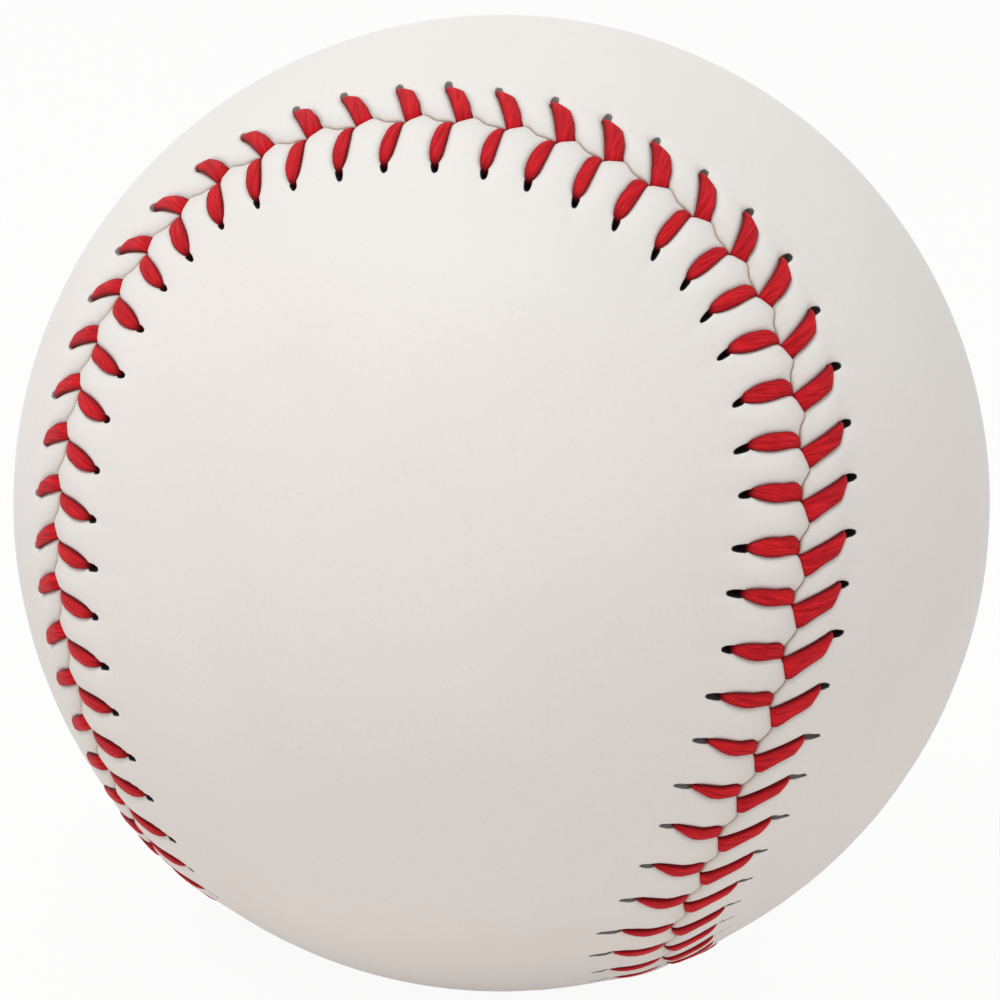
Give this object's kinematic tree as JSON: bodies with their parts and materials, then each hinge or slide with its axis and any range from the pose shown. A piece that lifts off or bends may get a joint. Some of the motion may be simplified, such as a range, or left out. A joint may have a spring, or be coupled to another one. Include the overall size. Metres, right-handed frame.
{
  "type": "baseball",
  "caption": "White leather ball whose figure-eight cover panels are laced with red V stitches over yarn windings and a cork and rubber core.",
  "frame": {"origin": "centre of the ball", "axes": "+Z is the seam's four-fold axis, up, through the middle of the side panel's neck; -Y faces the front panel's lobe, +X a lobe of the side panel"},
  "size_m": [0.0738, 0.0738, 0.0738],
  "materials": {
    "cork": "granular, matte",
    "black_rubber": "matte",
    "red_rubber": "matte",
    "grey_wool": "wound yarn, matte",
    "white_wool": "wound yarn, matte",
    "finishing_yarn": "fine wound yarn, matte",
    "leather": "smooth alum-tanned leather, satin",
    "red_thread": "waxed, satin"
  },
  "bodies": {
    "root": {"cork_core": "cork", "black_rubber_cup_upper": "black_rubber", "black_rubber_cup_lower": "black_rubber", "red_rubber_gasket": "red_rubber", "red_rubber_jacket": "red_rubber", "winding_grey_wool_inner": "grey_wool", "winding_white_wool": "white_wool", "winding_grey_wool_outer": "grey_wool", "winding_finishing_yarn": "finishing_yarn", "cover_panel_front": "leather", "cover_panel_side": "leather", "lacing_thread": "red_thread"}
  },
  "joints": []
}
